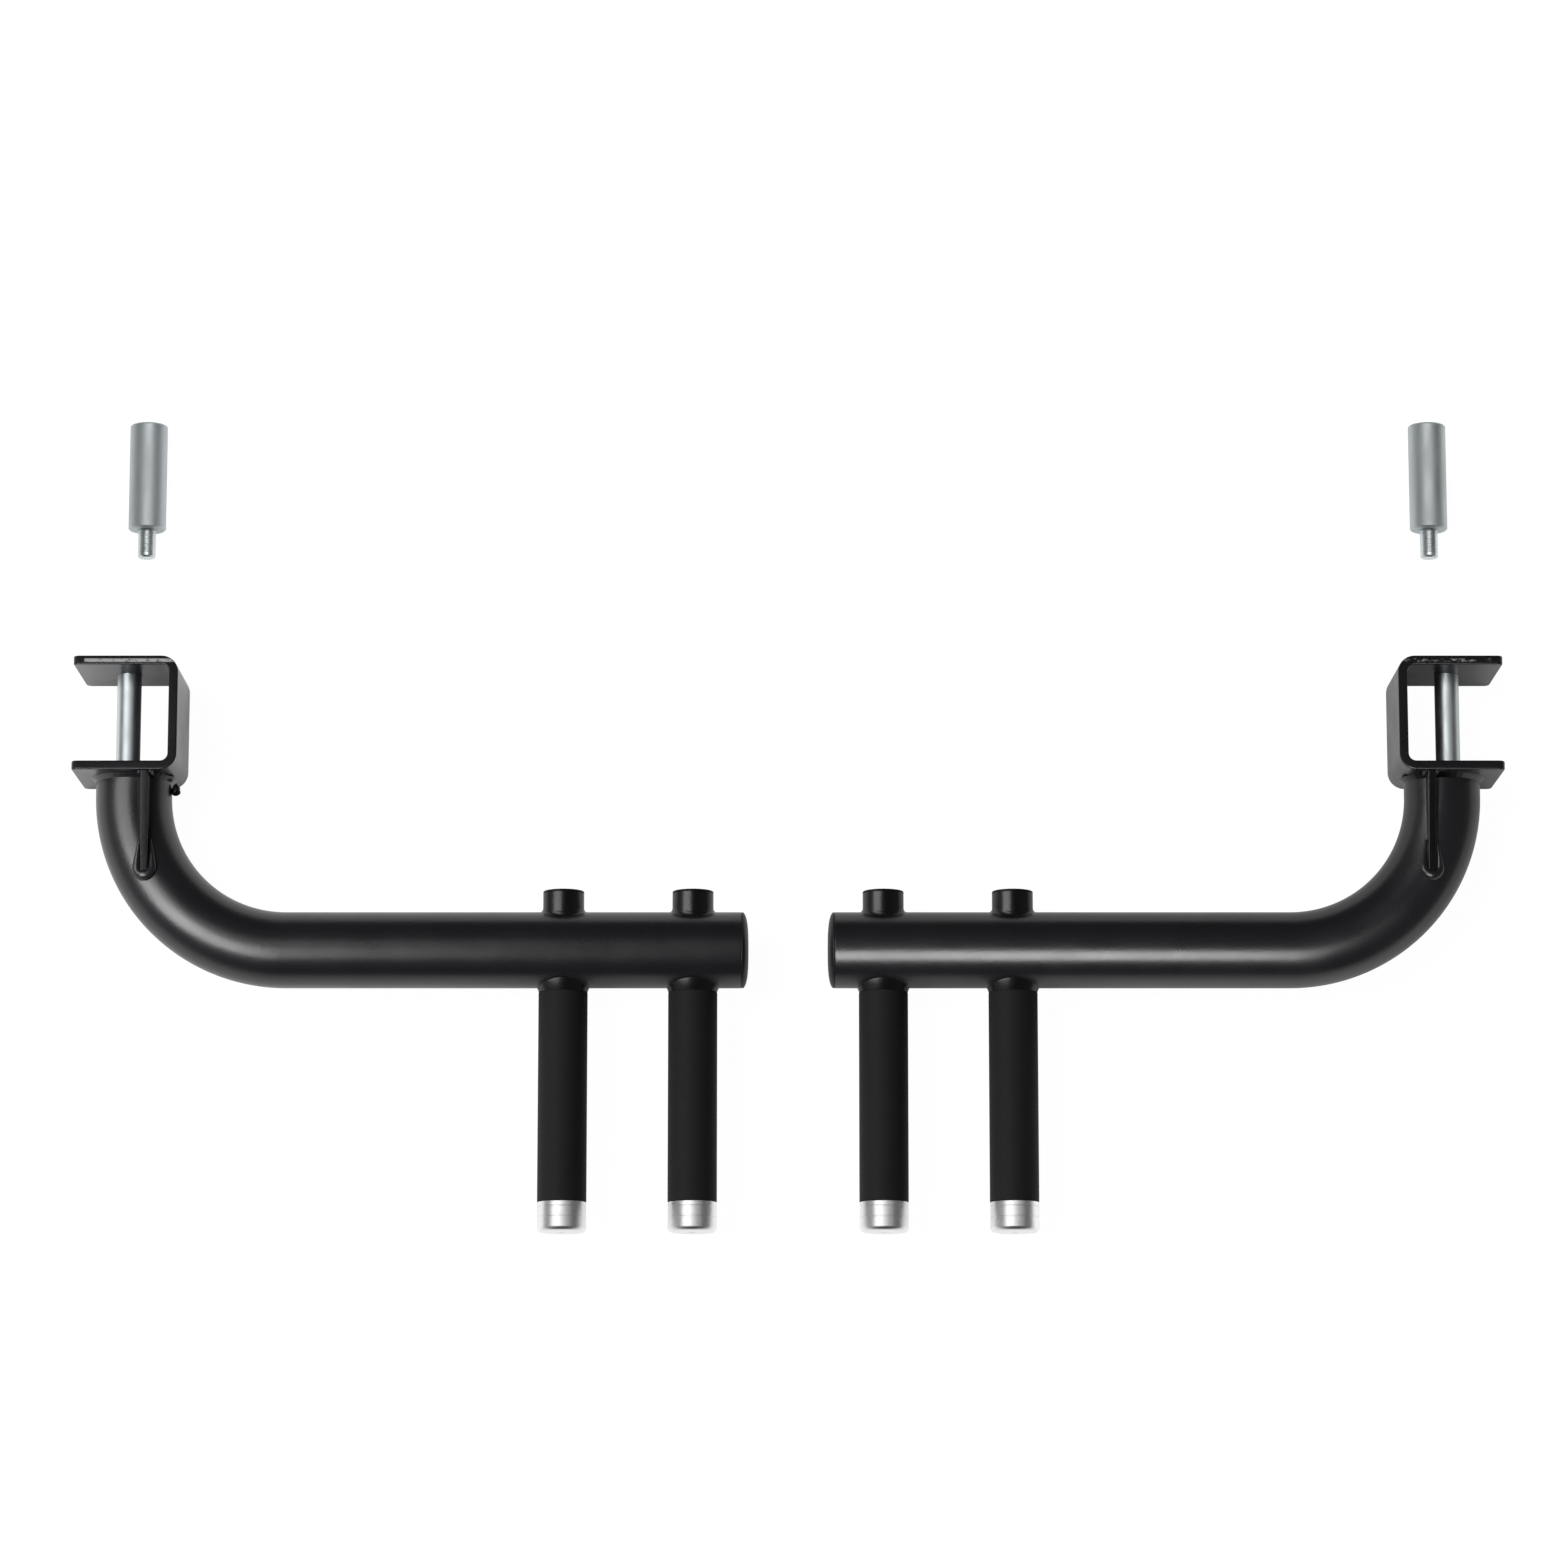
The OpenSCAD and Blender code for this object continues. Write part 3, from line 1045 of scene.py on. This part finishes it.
pinMake = {
    "thread": 0.006,
    "threadDepth": 0.00025,
    "pitch": 0.00175,
    "chamfer": 0.001,
    "chamferRound": 0.00015,
    "socketFlats": 0.008,
    "socketDepth": 0.005,
    "headHeight": 0.003,
    "headRound": 0.0005,
    "shaft": 0.008,
    "studNeck": 0.001,  # the stud is thinner by this inside the body
}


def threadRings(start, length):
    # fine ridges from start to the chamfered end
    make = pinMake
    outer, root = make["thread"], make["thread"] - make["threadDepth"]
    pitch, chamfer = make["pitch"], make["chamfer"]
    ridge = ((0, outer), (0.2, outer), (0.5, root), (0.7, root))  # shares of the pitch
    rings = [(start, root)]
    place = start + pitch / 2
    while place < start + length - chamfer - pitch:
        rings += [(place + pitch * share, radius) for share, radius in ridge]
        place += pitch
    rings += [(start + length - chamfer, outer), (start + length, outer - chamfer)]
    return rings


def cutSocket(obj, place):
    # a hex socket sunk into the end of a pin
    make = pinMake
    carveHole(obj, place, make["socketFlats"] / math.sqrt(3), 2 * make["socketDepth"], sides=6)
    closeSkin(obj)


def makeLockPin():
    make = pinMake
    channel = lowerY + bracketMake["plate"]
    foot, along = (pinX, pinHi.y, axisZ), (0, -1, 0)
    shaftEnd = pinHi.y - channel
    rings = [(0, pinHead), (make["headHeight"], pinHead), (make["headHeight"], make["shaft"]),
             (shaftEnd / 2, make["shaft"]), (shaftEnd, make["shaft"])]
    rings += threadRings(shaftEnd, channel - pinLo.y)
    obj = turned(foot, along, rings)
    cutSocket(obj, foot)
    roundRing(obj, foot, along, (0, pinHead), make["headRound"], segments=3)
    return obj


def makeSpareBody():
    make = pinMake
    lo, hi, x, radius = rod("spare_pin_body")
    z = (lo.z + hi.z) / 2
    length = hi.y - lo.y
    foot, along = (x, lo.y, z), (0, 1, 0)
    chamfer = make["chamfer"]
    nearEnd = [(0, radius - chamfer), (chamfer, radius)]
    farEnd = [(length - chamfer, radius), (length, radius - chamfer)]
    middle = [(length / 3, radius), (2 * length / 3, radius)]
    obj = turned(foot, along, nearEnd + middle + farEnd)
    cutSocket(obj, (x, hi.y, z))
    for ring in nearEnd + farEnd:
        roundRing(obj, foot, along, ring, make["chamferRound"], segments=2)
    return obj


def makeSpareStud():
    make = pinMake
    lo, hi, x, _ = rod("spare_pin_stud")
    z = (lo.z + hi.z) / 2
    mouth = rod("spare_pin_body")[0].y
    rings = [(mouth - hi.y, make["thread"] - make["studNeck"])] + threadRings(0, mouth - lo.y)
    return turned((x, mouth, z), (0, -1, 0), rings)


pair(makeLockPin(), "lock_pin", "bright_zinc", body="lock", degrees=30, flat=True)
pair(makeSpareBody(), "spare_pin_body", "satin_zinc", body="spare", degrees=30, flat=True)
pair(makeSpareStud(), "spare_pin_stud", "bright_zinc", body="spare", degrees=30)
for side in ("right", "left"):
    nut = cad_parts[side + "_weld_nut"]
    nut.data.materials.clear()
    nut.data.materials.append(finishes["bright_zinc"])
print("pins turned")

# floor, lamps, world and camera

floorMake = {
    "size": 40,
    "below": 0.0004,
    "colour": (0.86, 0.86, 0.86),
    "glow": 1.14,
    "seenShare": 0.86,
    "mirroredLeft": 1.0,  # how pale the floor is in metal, and between which places that changes
    "mirroredRight": 0.5,
    "acrossX": (-0.4, 0.1),
    "mirroredEnds": 0.5,
    "endsY": (0.12, 0.18),
    "mirroredFar": 0.62,
    "farY": (0.29, 0.33),
    "shadeReach": 0.08,
    "shadeSamples": 8,
}


def makeFloor():
    make = floorMake
    clearSelection()
    bpy.ops.mesh.primitive_plane_add(size=make["size"], location=(0, 0, -make["below"]))
    floor = bpy.context.object
    floor.name = "floor"
    material = bpy.data.materials.new("paleFloor")
    material.use_nodes = True
    tree = material.node_tree
    tree.nodes.remove(tree.nodes["Principled BSDF"])
    paint = addNode(material, "ShaderNodeBsdfDiffuse", {"Color": (*make["colour"], 1)})
    glow = addNode(material, "ShaderNodeEmission",
                   {"Color": (1, 1, 1, 1), "Strength": make["glow"]})
    # it glows white to the camera, and in metal it glows less to the right, far out and near pieces
    rays = addNode(material, "ShaderNodeLightPath").outputs
    place = addNode(material, "ShaderNodeTexCoord").outputs["Object"]
    parts = addNode(material, "ShaderNodeSeparateXYZ", {"Vector": place}).outputs
    shade = addNode(material, "ShaderNodeAmbientOcclusion", {"Distance": make["shadeReach"]},
                    samples=make["shadeSamples"])
    fromMiddle = maths(material, "ABSOLUTE", parts["Y"])
    across = spread(material, parts["X"], make["mirroredLeft"], make["mirroredRight"],
                    *make["acrossX"])
    ends = spread(material, fromMiddle, 0, make["mirroredEnds"], *make["endsY"])
    far = spread(material, fromMiddle, 1, make["mirroredFar"], *make["farY"])
    pale = maths(material, "ADD", across, ends, use_clamp=True)
    pale = maths(material, "MULTIPLY", pale, shade.outputs["AO"])
    pale = maths(material, "MULTIPLY", pale, far)
    inMetal = maths(material, "MAXIMUM", rays["Is Glossy Ray"], rays["Is Transmission Ray"])
    inMetal = maths(material, "MULTIPLY", inMetal, pale)
    share = maths(material, "MULTIPLY_ADD", rays["Is Camera Ray"], make["seenShare"], inMetal)
    mix = addNode(material, "ShaderNodeMixShader",
                  {0: share, 1: paint.outputs[0], 2: glow.outputs[0]})
    tree.links.new(mix.outputs[0], tree.nodes["Material Output"].inputs["Surface"])
    floor.data.materials.append(material)


makeFloor()

lampMake = {
    "sideBox": {
        "at": (-3.4, 0.75, 5.0), "size": (3.0, 4.6), "radiance": 4.4, "aim": (0, 0, 0),
        "skips": True,
        "pieces": ("polished_aluminium", "bright_zinc", "satin_zinc", "bracket"),
    },
    "rightStrip": {
        "at": (0.18, -0.76, 1.5), "size": (0.66, 0.72), "radiance": 15.0, "aim": (0.18, -0.08, 0),
        "pieces": ("right_main_tube", "right_tube_plug", "right_bracket",
                   "right_front_gusset_beads"),
    },
    "leftStrip": {
        "at": (-1.27, -0.6, 1.5), "size": (1.4, 0.85), "radiance": 11.0, "aim": (-1.27, -0.6, 0),
        "pieces": ("left_main_tube", "left_tube_plug", "left_bracket", "left_bracket_weld",
                   "left_front_gusset_beads"),
    },
    "metalKey": {
        "at": (-3.0, 0.75, 5.4), "size": (5.2, 2.4), "radiance": 2.4, "aim": (-3.0, 0.75, 0),
        "pieces": ("polished_aluminium", "lock_pin"),
    },
    "metalFill": {
        "at": (0.6, 0.75, 5.4), "size": (1.9, 2.4), "radiance": 1.15, "aim": (0.6, 0.75, 0),
        "pieces": ("polished_aluminium", "lock_pin"),
    },
    "metalEdge": {
        "at": (3.2, 0.75, 5.4), "size": (3.2, 2.4), "radiance": 0.5, "aim": (3.2, 0.75, 0),
        "pieces": ("polished_aluminium", "lock_pin"),
    },
    "pinKey": {
        "at": (0.0, 1.4, 5.4), "size": (3.8, 2.4), "radiance": 4.7, "aim": (0, 1.4, 0),
        "pieces": ("spare_pin_body", "spare_pin_stud"),
    },
}


def makeLamps():
    # each lamp lights only its own pieces, or with skips all but those
    for name, make in lampMake.items():
        clearSelection()
        place, aim = Vector(make["at"]), Vector(make["aim"])
        turn = (aim - place).to_track_quat("-Z", "Y").to_euler()
        bpy.ops.object.light_add(type="AREA", location=place, rotation=turn)
        lamp = bpy.context.object
        lamp.name = name
        lamp.data.shape = "RECTANGLE"
        lamp.data.size, lamp.data.size_y = make["size"]
        lamp.data.energy = make["radiance"] * math.pi * make["size"][0] * make["size"][1]
        receivers = bpy.data.collections.new(name + "Pieces")
        lamp.light_linking.receiver_collection = receivers
        for key in make["pieces"]:
            for piece in litPieces[key]:
                receivers.objects.link(piece)
        if make.get("skips"):
            for entry in receivers.collection_objects:
                entry.light_linking.link_state = "EXCLUDE"


makeLamps()

worldMake = {
    "overhead": 0.02,
    "left": 0.3,
    "leftX": (-1, -0.4),
    "right": 0.12,
    "rightX": (0.3, 1),
    "seen": 1.0,  # the camera sees it white, as it sees the floor
}


def makeWorld():
    make = worldMake
    world = bpy.data.worlds.new("studio")
    world.use_nodes = True
    bpy.context.scene.world = world
    place = addNode(world, "ShaderNodeTexCoord").outputs["Generated"]
    parts = addNode(world, "ShaderNodeSeparateXYZ", {"Vector": place}).outputs
    left = spread(world, parts["X"], make["left"], 0, *make["leftX"])
    right = spread(world, parts["X"], 0, make["right"], *make["rightX"])
    light = maths(world, "ADD", maths(world, "ADD", left, right), make["overhead"])
    isSeen = addNode(world, "ShaderNodeLightPath").outputs["Is Camera Ray"]
    strength = addNode(world, "ShaderNodeMix", {0: isSeen, 2: light, 3: make["seen"]},
                       data_type="FLOAT")
    background = world.node_tree.nodes["Background"]
    background.inputs["Color"].default_value = (1, 1, 1, 1)
    world.node_tree.links.new(strength.outputs[0], background.inputs["Strength"])


makeWorld()

cameraMake = {
    "lookAt": (-0.0053, 0.026, 0.0375),
    "tilt": 10.2,
    "distance": 3.633,
    "lens": 126.9,
    "sensor": 36,
}


def makeCamera():
    make = cameraMake
    tilt = math.radians(make["tilt"])
    back = Vector((0, -math.sin(tilt), math.cos(tilt)))
    clearSelection()
    bpy.ops.object.camera_add(location=Vector(make["lookAt"]) + back * make["distance"],
                              rotation=(tilt, 0, 0))
    camera = bpy.context.object
    camera.data.sensor_width = make["sensor"]
    camera.data.lens = make["lens"]
    bpy.context.scene.camera = camera


makeCamera()
bpy.context.scene.view_settings.view_transform = "Standard"
clearSelection()
print("floor, lamps and camera placed")
